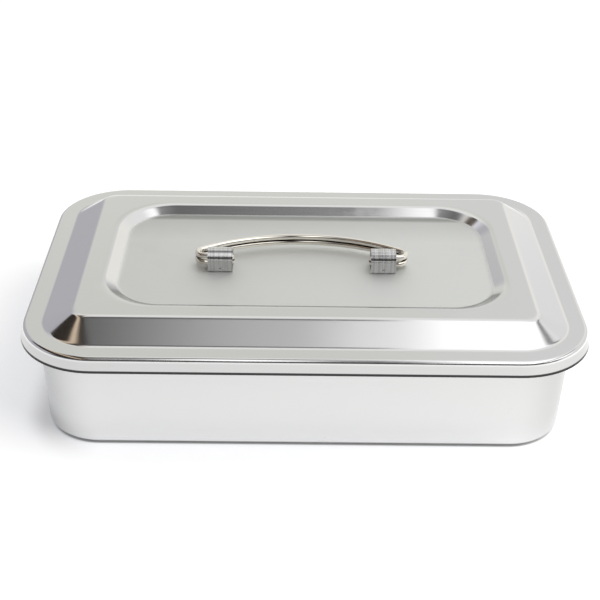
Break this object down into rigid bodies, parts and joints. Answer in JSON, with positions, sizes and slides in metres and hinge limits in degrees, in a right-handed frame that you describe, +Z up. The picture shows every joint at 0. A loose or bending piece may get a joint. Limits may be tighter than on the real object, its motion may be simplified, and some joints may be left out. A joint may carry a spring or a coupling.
{
  "type": "sterilization container",
  "caption": "Rectangular stainless instrument tray with a drop-on pressed lid; a folding wire bail in welded strap clips lifts the lid.",
  "frame": {"origin": "on the table, under the centre of the closed container", "axes": "+X along the length to the right, +Y to the back, where the bail is folded, +Z up"},
  "size_m": [0.304, 0.204, 0.0774],
  "materials": {
    "tray_steel": "satin",
    "lid_steel": "satin",
    "clip_steel": "brushed",
    "wire_steel": "polished"
  },
  "bodies": {
    "tray_body": {"tray": "tray_steel"},
    "lid_body": {"lid": "lid_steel", "left_clip": "clip_steel", "right_clip": "clip_steel"},
    "bail_body": {"bail_handle": "wire_steel"}
  },
  "joints": [
    {"name": "lid_lift", "type": "slide", "parent": "tray_body", "child": "lid_body", "axis": [0, 0, 1], "range_m": [0, 0.08]},
    {"name": "bail_swing", "type": "hinge", "parent": "lid_body", "child": "bail_body", "pos_m": [-0.002, -0.0105, 0.07038], "axis": [1, 0, 0], "range_deg": [0, 180]}
  ]
}
